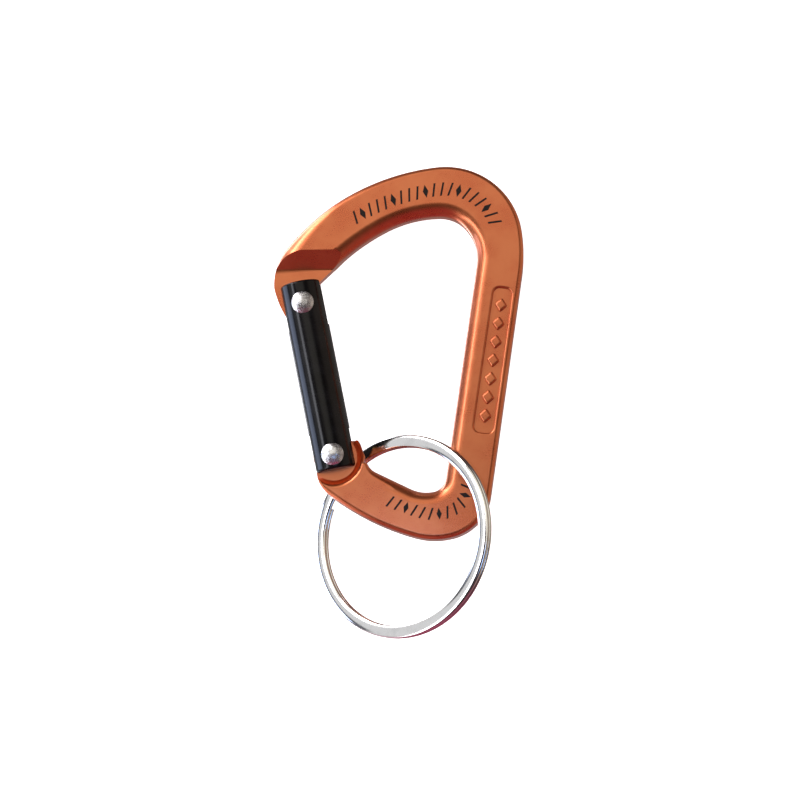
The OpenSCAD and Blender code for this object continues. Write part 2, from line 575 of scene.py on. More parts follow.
class Tree:
    """A shader tree under construction."""

    def __init__(self, tree: bpy.types.NodeTree) -> None:
        """Empties a tree."""
        self.tree = tree
        self.tree.nodes.clear()

    def node(
        self, kind: str, settings: dict[str, object] | None = None, sockets: dict | None = None
    ) -> bpy.types.Node:
        """Adds a node, sets it up and fills its sockets.

        Args:
            kind: The node's type.
            settings: The node's own settings, set first.
            sockets: Values, Signals or output sockets for its inputs, by name or number.

        Returns:
            The node.
        """
        node = self.tree.nodes.new(kind)
        for key, value in (settings or {}).items():
            setattr(node, key, value)
        for key, value in (sockets or {}).items():
            self.plug(node.inputs[key], value)
        return node

    def plug(self, inlet: bpy.types.NodeSocket, value: object) -> None:
        """Links a signal or a socket to an inlet, or sets its value.

        Args:
            inlet: The input socket.
            value: A Signal, an output socket or a plain value.
        """
        if isinstance(value, Signal):
            value = value.socket
        if isinstance(value, bpy.types.NodeSocket):
            self.tree.links.new(value, inlet)
        else:
            inlet.default_value = value

    def millimetres(self, turn: float = 0.0, stretch: Sequence[float] = (1, 1, 1)) -> bpy.types.NodeSocket:
        """Object coordinates in millimetres, turned about Z and then stretched.

        Args:
            turn: Degrees about Z.
            stretch: Factor along each axis, where a small one draws a pattern out.

        Returns:
            The coordinates' socket.
        """
        where = self.node("ShaderNodeTexCoord").outputs["Object"]
        turned = self.node(
            "ShaderNodeMapping", {}, {"Vector": where, "Rotation": (0, 0, math.radians(turn))}
        )
        scale = tuple(factor / MM for factor in stretch)
        scaled = self.node("ShaderNodeMapping", {}, {"Vector": turned.outputs[0], "Scale": scale})
        return scaled.outputs[0]

    def noise(self, grain: float, where: bpy.types.NodeSocket, detail: float = 2.0) -> Signal:
        """Noise with a grain of so many millimetres.

        Args:
            grain: The grain's size.
            where: Coordinates in millimetres.
            detail: How many finer layers it has.

        Returns:
            The noise, from 0 to 1 and mostly near 0.5.
        """
        sockets = {"Vector": where, "Scale": 1 / grain, "Detail": detail, "Roughness": 0.55}
        node = self.node("ShaderNodeTexNoise", {"noise_dimensions": "3D"}, sockets)
        return Signal(self, node.outputs[0])

    def blend(
        self, mask: Signal, first: Colour | bpy.types.NodeSocket, second: Colour
    ) -> bpy.types.NodeSocket:
        """A colour between two, by a mask.

        Args:
            mask: 0 for the first colour and 1 for the second.
            first: A plain colour, or the socket of one that varies.
            second: The plain colour laid over it.

        Returns:
            The colour's socket.
        """
        node = self.node("ShaderNodeMix", {"data_type": "RGBA"})
        self.plug(node.inputs[0], mask)
        self.plug(node.inputs[6], (*first, 1) if isinstance(first, tuple) else first)
        self.plug(node.inputs[7], (*second, 1))
        return node.outputs[2]


class Paint(Tree):
    """A material under construction, with one Principled shader."""

    def __init__(self, name: str) -> None:
        """Makes an empty material with its shader and output.

        Args:
            name: The material's name.
        """
        self.material = bpy.data.materials.new(name)
        self.material.use_nodes = True
        super().__init__(self.material.node_tree)
        self.shader = self.node("ShaderNodeBsdfPrincipled")
        self.node("ShaderNodeOutputMaterial", {}, {"Surface": self.shader.outputs[0]})

    def relief(self, height: Signal, depth: float, strength: float = 1.0) -> None:
        """Drives the shader's normal from a height of so many millimetres."""
        sockets = {"Height": height, "Distance": depth * MM, "Strength": strength}
        self.plug(self.shader.inputs["Normal"], self.node("ShaderNodeBump", {}, sockets).outputs[0])

    def set(self, **values: object) -> None:
        """Sets or links the shader's inputs, with underscores for spaces in their names."""
        for key, value in values.items():
            self.plug(self.shader.inputs[key.replace("_", " ").title().replace("Ior", "IOR")], value)


# ---------------------------------------------------------------------------------------------
# Finishes
# ---------------------------------------------------------------------------------------------


@dataclass(frozen=True)
class OrangeAnodise:
    """Bead-blasted aluminium, anodised a satin orange."""

    name: str = "orange_anodise"
    colour: Colour = (0.66, 0.190, 0.070)
    deep: Colour = (0.56, 0.130, 0.045)
    worn: Colour = (0.80, 0.42, 0.28)
    roughness: float = 0.29

    def make(self) -> bpy.types.Material:
        """Builds the material.

        Returns:
            The material.
        """
        paint = Paint(self.name)
        flat = paint.millimetres()
        cloud = paint.noise(6.0, flat, 3)
        blast = paint.noise(0.09, flat, 3)
        drawn = paint.noise(0.05, paint.millimetres(8.0, (1, 0.05, 1)), 2)
        scuff = paint.noise(0.35, paint.millimetres(-35.0, (1, 0.08, 1)), 4).ramp(0.70, 0.76)
        spots = paint.noise(2.6, flat, 2).ramp(0.52, 0.66)
        wear = scuff * spots
        colour = paint.blend(cloud.ramp(0.3, 0.7), self.deep, self.colour)
        paint.set(
            base_color=paint.blend(wear * 0.35, colour, self.worn),
            metallic=0.88,
            roughness=self.roughness + (cloud - 0.5) * 0.10 + (blast - 0.5) * 0.10 + wear * 0.12,
            coat_weight=0.40,
            coat_roughness=0.20,
            specular_ior_level=0.6,
        )
        paint.relief(blast * 0.7 + drawn * 0.3, 0.010, 0.5)
        return paint.material


@dataclass(frozen=True)
class BlackAnodise:
    """Turned aluminium tube, anodised a glossy black."""

    name: str = "black_anodise"
    colour: Colour = (0.0035, 0.0033, 0.0035)
    dusty: Colour = (0.014, 0.014, 0.016)
    along: float = 0.0

    def make(self) -> bpy.types.Material:
        """Builds the material.

        Returns:
            The material.
        """
        paint = Paint(self.name)
        flat = paint.millimetres()
        cloud = paint.noise(3.5, flat, 3)
        turned = paint.noise(0.06, paint.millimetres(-self.along, (0.04, 1, 0.04)), 2)
        scuff = paint.noise(0.30, paint.millimetres(self.along + 20, (1, 0.07, 1)), 4).ramp(0.72, 0.78)
        paint.set(
            base_color=paint.blend((cloud.ramp(0.35, 0.75) * 0.6 + scuff * 0.4), self.colour, self.dusty),
            metallic=0.0,
            specular_ior_level=0.04,
            roughness=0.26 + (cloud - 0.5) * 0.08 + (turned - 0.5) * 0.10 + scuff * 0.15,
            coat_weight=0.40,
            coat_roughness=0.15,
        )
        paint.relief(turned * 0.8 + cloud * 0.2, 0.004, 0.4)
        return paint.material


@dataclass(frozen=True)
class RivetSteel:
    """Satin steel with the marks of the heading tool."""

    name: str = "rivet_steel"
    colour: Colour = (0.74, 0.74, 0.76)
    dull: Colour = (0.42, 0.40, 0.41)

    def make(self) -> bpy.types.Material:
        """Builds the material.

        Returns:
            The material.
        """
        paint = Paint(self.name)
        flat = paint.millimetres()
        peen = paint.noise(0.55, flat, 2)
        grain = paint.noise(0.07, flat, 3)
        marks = peen.ramp(0.45, 0.68)
        paint.set(
            base_color=paint.blend(marks, self.colour, self.dull),
            metallic=1.0,
            roughness=0.26 + marks * 0.12 + (grain - 0.5) * 0.2,
        )
        paint.relief(peen * 0.85 + grain * 0.15, 0.10, 1.0)
        return paint.material


@dataclass(frozen=True)
class RingNickel:
    """Flat spring wire, polished and nickel plated, with fine lines along its length."""

    name: str = "ring_nickel"
    colour: Colour = (0.76, 0.74, 0.71)
    dull: Colour = (0.52, 0.50, 0.48)

    def make(self) -> bpy.types.Material:
        """Builds the material.

        Returns:
            The material.
        """
        paint = Paint(self.name)
        flat = paint.millimetres()
        cloud = paint.noise(2.2, flat, 3)
        fine = paint.noise(0.12, flat, 3)
        lines = paint.noise(0.30, paint.millimetres(0, (1, 1, 4)), 2)
        pits = fine.ramp(0.68, 0.80)
        paint.set(
            base_color=paint.blend(cloud.ramp(0.4, 0.8) * 0.5 + pits * 0.4, self.colour, self.dull),
            metallic=1.0,
            roughness=0.11 + (cloud - 0.5) * 0.08 + pits * 0.12,
        )
        paint.relief(lines * 0.6 + fine * 0.4, 0.006, 0.4)
        return paint.material


@dataclass(frozen=True)
class SpringWire:
    """Bright drawn wire with a thin film of oil."""

    name: str = "spring_wire"
    colour: Colour = (0.55, 0.55, 0.57)
    oily: Colour = (0.36, 0.34, 0.31)

    def make(self) -> bpy.types.Material:
        """Builds the material.

        Returns:
            The material.
        """
        paint = Paint(self.name)
        cloud = paint.noise(0.8, paint.millimetres(), 3)
        paint.set(
            base_color=paint.blend(cloud.ramp(0.4, 0.7), self.colour, self.oily),
            metallic=1.0,
            roughness=0.24 + cloud * 0.12,
        )
        paint.relief(paint.noise(0.05, paint.millimetres(), 2), 0.003, 0.4)
        return paint.material


@dataclass(frozen=True)
class PlungerBrass:
    """Turned brass with the lathe's rings."""

    name: str = "plunger_brass"
    colour: Colour = (0.78, 0.57, 0.26)
    tarnish: Colour = (0.55, 0.36, 0.15)

    def make(self) -> bpy.types.Material:
        """Builds the material.

        Returns:
            The material.
        """
        paint = Paint(self.name)
        cloud = paint.noise(0.7, paint.millimetres(), 3)
        paint.set(
            base_color=paint.blend(cloud.ramp(0.4, 0.75), self.colour, self.tarnish),
            metallic=1.0,
            roughness=0.25 + cloud * 0.15,
        )
        paint.relief(paint.noise(0.06, paint.millimetres(-11, (0.1, 1, 0.1)), 2), 0.004, 0.5)
        return paint.material


@dataclass(frozen=True)
class PrintInk:
    """Black pad-print ink, thin at its edges."""

    name: str = "print_ink"
    colour: Colour = (0.012, 0.011, 0.010)
    thin: Colour = (0.060, 0.030, 0.018)

    def make(self) -> bpy.types.Material:
        """Builds the material.

        Returns:
            The material.
        """
        paint = Paint(self.name)
        grain = paint.noise(0.10, paint.millimetres(), 3)
        paint.set(
            base_color=paint.blend(grain.ramp(0.5, 0.75), self.colour, self.thin),
            metallic=0.0,
            roughness=0.5 + (grain - 0.5) * 0.2,
            specular_ior_level=0.15,
        )
        paint.relief(grain, 0.004, 0.4)
        return paint.material


# ---------------------------------------------------------------------------------------------
# The forged frame
# ---------------------------------------------------------------------------------------------


@dataclass(frozen=True)
class GateLine:
    """The gate's axis in the drawing, from the hinge rivet to the latch rivet.

    Attributes:
        hinge: Place of the hinge rivet.
        lean: Lean from upright in degrees, top to the left.
        span: Distance between the rivets.
    """

    hinge: Point = (-8.8, -7.5)
    lean: float = 11.3
    span: float = 20.8

    def at(self, across: float, along: float) -> Vector:
        """The drawing's point for a place on the gate.

        Args:
            across: How far to the right of the gate's axis.
            along: How far up from the hinge.

        Returns:
            The point.
        """
        turn = math.radians(self.lean)
        x = self.hinge[0] + across * math.cos(turn) - along * math.sin(turn)
        y = self.hinge[1] + across * math.sin(turn) + along * math.cos(turn)
        return Vector((x, y))

    def round_hinge(self, radius: float, angle: float) -> Vector:
        """A point on a circle about the hinge, by its angle from straight across the gate."""
        turn = math.radians(angle)
        return self.at(radius * math.cos(turn), radius * math.sin(turn))

    def round_latch(self, radius: float, across: float) -> Vector:
        """A point on a circle about the hinge, at the latch end and so far across the gate."""
        return self.at(across, math.sqrt(radius * radius - across * across))


@dataclass(frozen=True)
class ForgedFrame:
    """The orange C-shaped body: spine, arcs, the nose's hook and the hinge's lug.

    Lengths are in millimetres. Places on the tongue are across and along the gate's line.

    Attributes:
        line: The gate's line.
        ramp_low: Height in the drawing where the nose is down to the tongue's thickness.
        ramp_high: Height where it is full again.
        shoulder_drop: How far below the hinge the shoulder's round has its middle.
        tab_end: How far outside the shoulder the hole's edge starts.
        groove_steepness: The V groove's depth over half its width.
        heel_arm: Radius of the circle that the heel's involute unwinds from.
        lip_radius: The lip's distance from the hinge.
        notch_at: How far across the latch rivet's notch lies.
        lug_reach: How far from the hinge the tongue runs into the body.
        tab_reach: How far from the hinge the tab follows the hole's edge.
        near_hinge: How many of an outline's first points can lie on the tongue.
        near_pocket: How many of them can lie beside the shoulder.
    """

    line: GateLine
    thickness: float = 4.5
    tongue: float = 1.6
    ramp_low: float = 17.6
    ramp_high: float = 20.1
    shoulder_radius: float = 3.75
    shoulder_drop: float = 0.25
    shoulder_round: float = 0.5
    tab_end: float = 0.4
    lug_radius: float = 2.7
    groove: float = 0.44
    groove_steepness: float = 1.2
    bore_radius: float = 0.85
    heel_arm: float = 0.9
    heel_base: float = 2.2
    lip_radius: float = 18.4
    notch_radius: float = 0.9
    notch_at: float = -0.05
    lip_reach: float = 0.7
    crest_round: float = 0.22
    lug_reach: float = 4.4
    tab_reach: float = 4.5
    tab_tip: tuple[Point, Point] = ((3.66, 1.22), (3.45, 1.42))
    near_hinge: int = 30
    near_pocket: int = 20
    rim_faces: int = 9
    outer: Outline = Outline(
        start=(-11.04, -9.93),
        heading=-80.0,
        round_off=0.3,
        steps=(
            Arc(4.6, 42.5, OUTER_ROUND),
            Arc(33.0, 22.1, OUTER_ROUND),
            Arc(9.9, 30.0, OUTER_ROUND),
            Arc(6.7, 67.1, OUTER_ROUND),
            Straight(29.9, OUTER_ROUND),
            Arc(20.0, 17.0, OUTER_ROUND),
            Arc(10.4, 87.3, OUTER_ROUND),
            Arc(30.8, 28.0, 0.9),
            Arc(30.8, 15.5, NOSE_ROUND),
            Arc(7.3, 42.5, NOSE_ROUND),
            Arc(4.5, 13.5, 0.6),
            Arc(13.5, 30.0, 0.1),
        ),
    )
    inner: Outline = Outline(
        start=(-5.3, -5.84),
        heading=-70.0,
        round_off=0.35,
        steps=(
            Straight(2.9, 1.1),
            Arc(2.2, 44.6, 1.5),
            Straight(5.12, INNER_ROUND),
            Arc(4.9, 36.3, INNER_ROUND),
            Arc(2.03, 70.8, INNER_ROUND),
            Straight(29.2, INNER_ROUND),
            Arc(6.1, 51.2, INNER_ROUND),
            Arc(4.6, 47.7, INNER_ROUND),
            Arc(15.8, 27.0, INNER_ROUND),
            Arc(28.7, 14.0, INNER_ROUND),
            Arc(28.7, 4.0, 1.5),
        ),
    )

    def build(self) -> bpy.types.Object:
        """Models the whole frame in the drawing.

        Returns:
            The frame.
        """
        piece = self.rounded_body()
        self.thin_the_nose(piece)
        combine(piece, self.hinge_tongue(), Cut.JOIN)
        hinge = Vector((*self.line.hinge, 0))
        depth = Vector((0, 0, self.thickness))
        combine(piece, bar("bore_tool", self.bore_radius, hinge - depth, hinge + depth), Cut.AWAY)
        SpinePanel().press_into(piece, self.thickness / 2)
        shade(piece)
        return piece

    @property
    def shoulder(self) -> Vector:
        """The middle of the shoulder's round."""
        return self.line.at(0, -self.shoulder_drop)

    def hook(self) -> list[Vector]:
        """The hook's outline.

        Returns:
            Its points, from the nose's outside round the lip and the notch to its inside.
        """
        arc, reach = self.line.round_latch, self.lip_reach
        low, notch = self.lip_radius, self.notch_radius
        lip = [arc(low, across) for across in (-2.1, -1.4, -0.6, 0.1)]
        tip_low = [arc(low + 0.12, reach - 0.15), arc(low + 0.4, reach)]
        below = self.line.span - notch
        tip_high = [arc(below - 0.3, reach), arc(below - 0.06, reach - 0.2)]
        under = [arc(below, across) for across in (0.3, 0.1)]
        turns = [math.radians(angle) for angle in range(-80, 81, 10)]
        saddle = [
            self.line.at(self.notch_at - notch * math.cos(turn), self.line.span + notch * math.sin(turn))
            for turn in turns
        ]
        above = self.line.span + notch
        over = [arc(above, across) for across in (0.15, 0.4)]
        shoulder = [arc(above + 0.15, 0.66), arc(above + 0.5, 0.8)]
        return lip + tip_low + tip_high + under + saddle + over + shoulder

    def rounded_body(self) -> bpy.types.Object:
        """The full-thickness forging with its edges rounded, more inside the hole than outside.

        Returns:
            The body, with no tongue at the hinge and no thin nose yet.
        """
        hinge, centre = Vector(self.line.hinge), self.shoulder
        outside = [
            (point, taper(width, (point - centre).length - self.shoulder_radius))
            for point, width in self.outer.walk(FINE)
            if point.y < 0 or (point - hinge).length > self.lip_radius + FINE
            if (point - centre).length > self.shoulder_radius + 0.05
        ]
        inside = [
            (point, taper(width, (point - centre).length - self.shoulder_radius))
            for point, width in self.inner.walk(FINE)
            if (point - centre).length > self.shoulder_radius + self.tab_end
        ]
        hook = [(point, EDGE_BREAK) for point in self.hook()]
        sides = [point for point, _ in outside[: self.near_pocket] + inside[: self.near_pocket]]
        pocket = [
            (point, taper(self.shoulder_round, min((point - side).length for side in sides)))
            for point in self.pocket(inside[0][0], outside[0][0])
        ]
        path = outside + hook + inside[::-1] + pocket
        half = self.thickness / 2
        piece = prism("frame_body", [tuple(point) for point, _ in path], -half, half)
        round_rims(piece, [width for _, width in path], self.rim_faces)
        return piece

    def pocket(self, start: Vector, end: Vector) -> list[Vector]:
        """The shoulder's points, clockwise from the tab to the outside corner.

        Args:
            start: The inside's point next to the tab.
            end: The outside's first point.

        Returns:
            The points.
        """
        centre = self.shoulder
        first = math.degrees(math.atan2(start.y - centre.y, start.x - centre.x))
        last = math.degrees(math.atan2(end.y - centre.y, end.x - centre.x))
        count = round((first - last) / 4)
        turns = [first + (last - first) * i / count for i in range(count + 1)]
        return [centre - self.shoulder_radius * left_of(turn + 90) for turn in turns]

    def thin_the_nose(self, piece: bpy.types.Object) -> None:
        """Cuts both sides of the nose down to the tongue, over a slope.

        Args:
            piece: The frame.
        """
        half, rise = self.tongue / 2, (self.thickness - self.tongue) / 2
        run = self.ramp_high - self.ramp_low
        floor, past, west, east = 5.0, 1.5, -20.0, -4.0
        for side in (1, -1):
            profile = [
                (floor, half),
                (self.ramp_low, half),
                (self.ramp_low + run, half + rise),
                (self.ramp_low + run * past, half + rise * past),
                (floor, half + rise * past),
            ]
            tool = prism("ramp_tool", profile, west, east)
            for corner in tool.data.vertices:
                y, z, x = corner.co
                corner.co = (x, y, z * side)
            mend(tool)
            combine(piece, tool, Cut.AWAY)
        select_edges(piece, lambda a, b: self.tops_ramp(a) and self.tops_ramp(b))
        bpy.ops.mesh.bevel(offset=self.crest_round, segments=3, profile=0.5, clamp_overlap=True)
        finish_edit(piece)

    def tops_ramp(self, point: Vector) -> bool:
        """Whether a corner of the mesh lies on the crest of a slope."""
        level = abs(abs(point.z) - self.thickness / 2) < LEVEL
        return level and abs(point.y - self.ramp_high) < 10 * LEVEL

    def heel(self, angle: float) -> Vector:
        """A point of the heel that the plunger slides on, an involute about the hinge.

        Args:
            angle: How far the involute has unwound, in degrees.

        Returns:
            The point.
        """
        turn = math.radians(angle)
        lift = self.heel_base + self.heel_arm * turn
        across = self.heel_arm * math.cos(turn) + lift * math.sin(turn)
        along = lift * math.cos(turn) - self.heel_arm * math.sin(turn)
        return self.line.at(across, along)

    def hinge_tongue(self) -> bpy.types.Object:
        """The thin lug that the gate turns on, run into the body below, with its tab on the right.

        Returns:
            The tongue.
        """
        line, count, hinge = self.line, self.near_hinge, Vector(self.line.hinge)
        left = [line.round_hinge(self.lug_radius, angle) for angle in range(128, 209, 5)]
        outside = [point for point, _ in self.outer.walk(FINE)][:count]
        edge = [point for point in outside if (point - hinge).length < self.lug_reach]
        under = [line.round_hinge(self.lug_reach, angle) for angle in range(-112, -39, 6)]
        inside = [point for point, _ in self.inner.walk(FINE)][:count]
        beside = [point for point in inside if (point - hinge).length < self.tab_reach]
        tip = [line.at(*corner) for corner in self.tab_tip]
        top = [self.heel(angle) for angle in range(44, -26, -4)]
        path = left + edge + under + beside[::-1] + tip + top
        half = self.tongue / 2
        plate = prism("hinge_tongue", [tuple(point) for point in path], -half, half)
        for side in (1, -1):
            combine(plate, self.relief_groove(side), Cut.AWAY)
        return plate

    def relief_groove(self, side: int) -> bpy.types.Object:
        """The tool that leaves a V groove in the tongue along the shoulder.

        Args:
            side: 1 for the front and -1 for the back.

        Returns:
            The tool.
        """
        deselect()
        centre = self.shoulder
        bpy.ops.mesh.primitive_torus_add(
            major_radius=self.shoulder_radius - self.groove * 0.5,
            minor_radius=self.groove,
            major_segments=96,
            minor_segments=4,
            location=(centre.x, centre.y, side * self.tongue / 2),
        )
        tool = added("groove_tool")
        tool.scale.z = self.groove_steepness
        freeze(tool)
        return tool


@dataclass(frozen=True)
class SpinePanel:
    """The sunken panel pressed into the spine, with a row of plain raised lozenges.

    Attributes:
        middle: The panel's middle in the drawing.
        lean: Its lean from upright in degrees, top to the right.
        corner: Radius of its corners.
        pitch: Distance between lozenges.
        lozenge: A lozenge's width, as a share of the panel's.
        lozenge_height: Its height over its width.
        stud_drop: How far below the frame's face it stops.
    """

    middle: Point = (12.46, 4.97)
    lean: float = 8.3
    length: float = 19.6
    top_width: float = 2.45
    foot_width: float = 2.6
    corner: float = 0.85
    depth: float = 0.4
    pitch: float = 2.5
    count: int = 7
    lozenge: float = 0.7
    lozenge_height: float = 1.15
    rim_round: float = 0.34
    stud_round: float = 0.28
    stud_drop: float = 0.03
    corner_faces: int = 6

    def place(self, across: float, along: float) -> Point:
        """The drawing's point for a place in the panel.

        Args:
            across: How far to the right of its middle.
            along: How far up from its middle.

        Returns:
            The point.
        """
        turn = math.radians(self.lean)
        x = self.middle[0] + across * math.cos(turn) + along * math.sin(turn)
        y = self.middle[1] - across * math.sin(turn) + along * math.cos(turn)
        return (x, y)

    def half_width(self, along: float) -> float:
        """Half the panel's width at a place along it."""
        share = 0.5 + along / self.length
        return (self.foot_width + (self.top_width - self.foot_width) * share) / 2

    def rim(self) -> list[Point]:
        """The panel's outline.

        Returns:
            The corners, with each of the four rounded.
        """
        points = []
        reach = self.length / 2 - self.corner
        for start, up, side in ((0, 1, 1), (90, 1, -1), (180, -1, -1), (270, -1, 1)):
            wide = self.half_width(up * self.length / 2) - self.corner
            for i in range(self.corner_faces + 1):
                turn = math.radians(start + 90 * i / self.corner_faces)
                across = side * wide + self.corner * math.cos(turn)
                along = up * reach + self.corner * math.sin(turn)
                points.append(self.place(across, along))
        return points

    def press_into(self, piece: bpy.types.Object, face: float) -> None:
        """Sinks the panel into a flat face and leaves the lozenges standing.

        Args:
            piece: The frame.
            face: Height of the flat face.
        """
        floor = face - self.depth
        tool = prism("panel_tool", self.rim(), floor, face + 1)
        combine(piece, tool, Cut.AWAY)
        select_edges(piece, lambda a, b: self.on_rim(a, face) and self.on_rim(b, face))
        bpy.ops.mesh.bevel(offset=self.rim_round, segments=5, profile=0.5, clamp_overlap=True)
        finish_edit(piece)
        for i in range(self.count):
            along = (i - (self.count - 1) / 2) * self.pitch
            combine(piece, self.stud(along, floor, face), Cut.JOIN)

    def on_rim(self, point: Vector, face: float) -> bool:
        """Whether a corner of the mesh lies on the rim of the pressed panel.

        Args:
            point: The corner's place.
            face: Height of the flat face.

        Returns:
            Whether it does.
        """
        if abs(point.z - face) > LEVEL:
            return False
        turn = math.radians(self.lean)
        dx, dy = point.x - self.middle[0], point.y - self.middle[1]
        across = dx * math.cos(turn) - dy * math.sin(turn)
        along = dx * math.sin(turn) + dy * math.cos(turn)
        return abs(along) < self.length / 2 + 0.05 and abs(across) < self.half_width(along) + 0.05

    def stud(self, along: float, floor: float, face: float) -> bpy.types.Object:
        """One raised lozenge with softened edges.

        Args:
            along: Its place along the panel.
            floor: Height of the panel's floor.
            face: Height of the flat face.

        Returns:
            The lozenge.
        """
        wide = self.lozenge * self.half_width(along)
        tall = wide * self.lozenge_height
        corners = [(wide, 0), (0, tall), (-wide, 0), (0, -tall)]
        outline = [self.place(x, along + y) for x, y in corners]
        tool = prism("stud", outline, floor - 0.1, face - self.stud_drop)
        select_edges(tool, lambda a, b: min(a.z, b.z) > floor or abs(a.z - b.z) > 0.1)
        bpy.ops.mesh.bevel(offset=self.stud_round, segments=4, profile=0.5)
        finish_edit(tool)
        return tool


@dataclass(frozen=True)
class PrintedRow:
    """A row of plain printed bars and lozenges that follows the frame's outside edge.

    Attributes:
        name: The piece's name.
        start: How far along the outside the row starts.
        end: How far along it ends.
        inset: How far in from the edge the row's middle lies.
        height: Height of a mark, across the row.
    """

    name: str
    start: float
    end: float
    inset: float
    height: float
    pitch: float = 1.12
    bar: float = 0.13
    slant: float = 0.22
    lozenge: float = 0.42
    face: float = 2.25
    ink: float = 0.02

    def build(self, outer: Outline) -> bpy.types.Object:
        """Makes all marks as one piece of ink, a hair proud of the face.

        Args:
            outer: The frame's outside.

        Returns:
            The printed row.
        """
        edge = [point for point, _ in outer.walk(FINE)]
        path = []
        for before, point, after in zip(edge, edge[1:], edge[2:]):
            ahead = (after - before).normalized()
            path.append(point + Vector((-ahead.y, ahead.x)) * self.inset)
        marks = []
        count = round((self.end - self.start) / self.pitch)
        for i in range(count + 1):
            middle, ahead = self.station(path, self.start + i * self.pitch)
            inward = Vector((-ahead.y, ahead.x))
            outline = [middle + ahead * x + inward * y for x, y in self.mark(i)]
            low, high = self.face - self.ink, self.face + self.ink
            marks.append(prism("mark", [tuple(point) for point in outline], low, high))
        deselect()
        for mark in marks:
            mark.select_set(True)
        bpy.context.view_layer.objects.active = marks[0]
        bpy.ops.object.join()
        marks[0].name = self.name
        return marks[0]

    def mark(self, number: int) -> list[Point]:
        """Corners of one mark: every fourth is a lozenge and the rest are slanted bars.

        Args:
            number: The mark's place in the row.

        Returns:
            The corners, along and across the row.
        """
        tall = self.height / 2
        if number % 4 == 2:
            narrow = tall * self.lozenge
            return [(narrow, 0), (0, tall), (-narrow, 0), (0, -tall)]
        wide, lean = self.bar, self.slant
        return [(wide - lean, -tall), (wide + lean, tall), (-wide + lean, tall), (-wide - lean, -tall)]

    def station(self, path: Sequence[Vector], distance: float) -> tuple[Vector, Vector]:
        """The point and the direction after some distance along a path.

        Args:
            path: The path's points.
            distance: How far along.

        Returns:
            The point, and a step of length 1 along the path there.
        """
        for a, b in zip(path, path[1:]):
            step = (b - a).length
            if distance < step:
                return a.lerp(b, distance / step), (b - a).normalized()
            distance -= step
        return path[-1], (path[-1] - path[-2]).normalized()


# ---------------------------------------------------------------------------------------------
# The gate and its rivets
# ---------------------------------------------------------------------------------------------


@dataclass(frozen=True)
class Gate:
    """The black tube, slotted at both ends and bored for its spring.

    Attributes:
        line: The gate's line.
        foot: How far the tube reaches below the hinge.
        head: How far it reaches above the latch rivet.
        slot: Width of both slots.
        foot_slot: How far above the hinge the lower slot ends.
        head_slot: How far below the latch rivet the upper slot starts.
        bore_depth: How far above the hinge the spring's bore ends.
        seat_height: Height of the rivets' sunken seats above the tube's axis.
    """

    line: GateLine
    radius: float = 2.8
    foot: float = 1.9
    head: float = 3.0
    rim: float = 0.32
    slot: float = 1.9
    foot_slot: float = 3.4
    head_slot: float = 3.2
    bore: float = 1.5
    bore_depth: float = 11.5
    seat_radius: float = 1.5
    seat_height: float = 2.3
    pin_radius: float = 0.8

    def build(self) -> bpy.types.Object:
        """Models the gate upright on the origin and turns it on to its line.

        Returns:
            The gate.
        """
        low, high = -self.foot, self.line.span + self.head
        piece = bar("gate_tube", self.radius, Vector((0, low, 0)), Vector((0, high, 0)), 128)
        select_edges(piece, lambda a, b: abs(a.y - b.y) < LEVEL)
        bpy.ops.mesh.bevel(offset=self.rim, segments=5, profile=0.5)
        finish_edit(piece)
        wide, half = self.radius + 1, self.slot / 2
        top = self.line.span - self.head_slot
        tools = [
            bar("bore_tool", self.bore, Vector((0, low - 1, 0)), Vector((0, self.bore_depth, 0))),
            block("foot_tool", Vector((-wide, low - 1, -half)), Vector((wide, self.foot_slot, half))),
            block("head_tool", Vector((-wide, top, -half)), Vector((wide, high + 1, half))),
        ]
        for along in (0.0, self.line.span):
            tools.append(self.through(along, self.pin_radius, -wide, wide))
            tools.append(self.through(along, self.seat_radius, self.seat_height, wide))
            tools.append(self.through(along, self.seat_radius, -wide, -self.seat_height))
        for tool in tools:
            combine(piece, tool, Cut.AWAY)
        shade(piece)
        on_line(piece, self.line)
        return piece

    def through(self, along: float, radius: float, low: float, high: float) -> bpy.types.Object:
        """A round tool across the gate."""
        return bar("pin_tool", radius, Vector((0, along, low)), Vector((0, along, high)))


def on_line(piece: bpy.types.Object, line: GateLine, along: float = 0.0) -> None:
    """Moves a piece from the origin on to the gate's line, turned with it.

    Args:
        piece: A piece modelled about the origin with the gate's axis along +Y.
        line: The gate's line.
        along: How far up the line it goes.
    """
    x, y = line.at(0, along)
    piece.matrix_world = Matrix.Translation((x, y, 0)) @ Matrix.Rotation(math.radians(line.lean), 4, "Z")
    freeze(piece)


